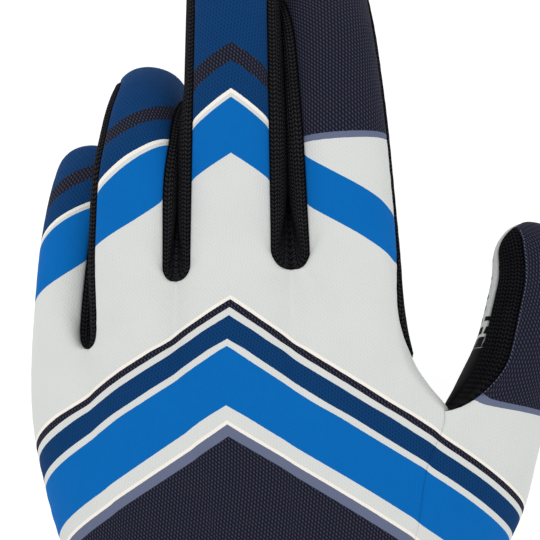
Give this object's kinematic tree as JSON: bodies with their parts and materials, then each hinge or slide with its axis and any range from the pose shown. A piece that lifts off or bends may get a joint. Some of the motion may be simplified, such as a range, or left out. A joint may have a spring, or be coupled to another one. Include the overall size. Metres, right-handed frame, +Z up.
{
  "type": "karting glove",
  "caption": "Left karting glove, filled out and lying palm down: printed cloth back, knit side strips between the fingers, suede palm, thumb gusset and elastic cuff.",
  "frame": {"origin": "on the surface the glove lies on, under the heel of the palm", "axes": "+Y from the wrist to the fingertips, +X to the thumb side, +Z up out of the back of the hand"},
  "size_m": [0.1337, 0.2361, 0.0484],
  "materials": {
    "printed_cloth": "woven mesh with printed stripes",
    "thumb_cloth": "woven mesh with printed stripes",
    "palm_suede": "suede with a printed grip",
    "gusset_knit": "ribbed knit",
    "side_knit": "ribbed knit",
    "cuff_knit": "elastic ribbed knit",
    "binding_tape": "folded tape"
  },
  "bodies": {
    "root": {"back_panel": "printed_cloth", "palm_panel": "palm_suede", "thumb_back": "thumb_cloth", "thumb_palm": "palm_suede", "thumb_gusset": "gusset_knit", "fourchette_little_ring": "side_knit", "fourchette_ring_middle": "side_knit", "fourchette_middle_index": "side_knit", "index_side_strip": "side_knit", "cuff": "cuff_knit", "cuff_binding": "binding_tape"}
  },
  "joints": []
}
